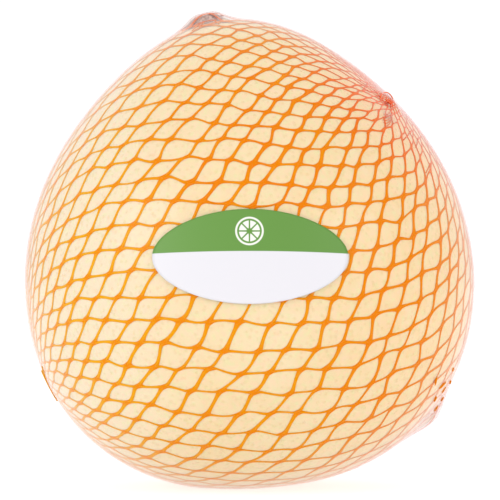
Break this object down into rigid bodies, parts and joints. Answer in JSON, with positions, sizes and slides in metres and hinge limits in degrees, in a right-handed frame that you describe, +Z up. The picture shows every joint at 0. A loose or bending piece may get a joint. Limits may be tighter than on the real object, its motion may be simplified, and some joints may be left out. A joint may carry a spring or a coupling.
{
  "type": "wrapped pomelo",
  "caption": "Pear-shaped pomelo in an orange plastic net, under clear shrink film, with an oval label on its front.",
  "frame": {"origin": "on the ground, in the middle of the wrapped pomelo's box", "axes": "+Z up along the fruit, -Y toward the label, +X to the right as seen from the label"},
  "size_m": [0.1502, 0.1512, 0.158],
  "materials": {
    "peel": "waxy pale yellow citrus peel with fine oil glands",
    "net_plastic": "extruded orange polyethylene net",
    "clear_film": "clear shrink film",
    "label_print": "printed sticker, green above and white below"
  },
  "bodies": {
    "root": {"pomelo": "peel", "net": "net_plastic", "film": "clear_film", "label": "label_print"}
  },
  "joints": []
}
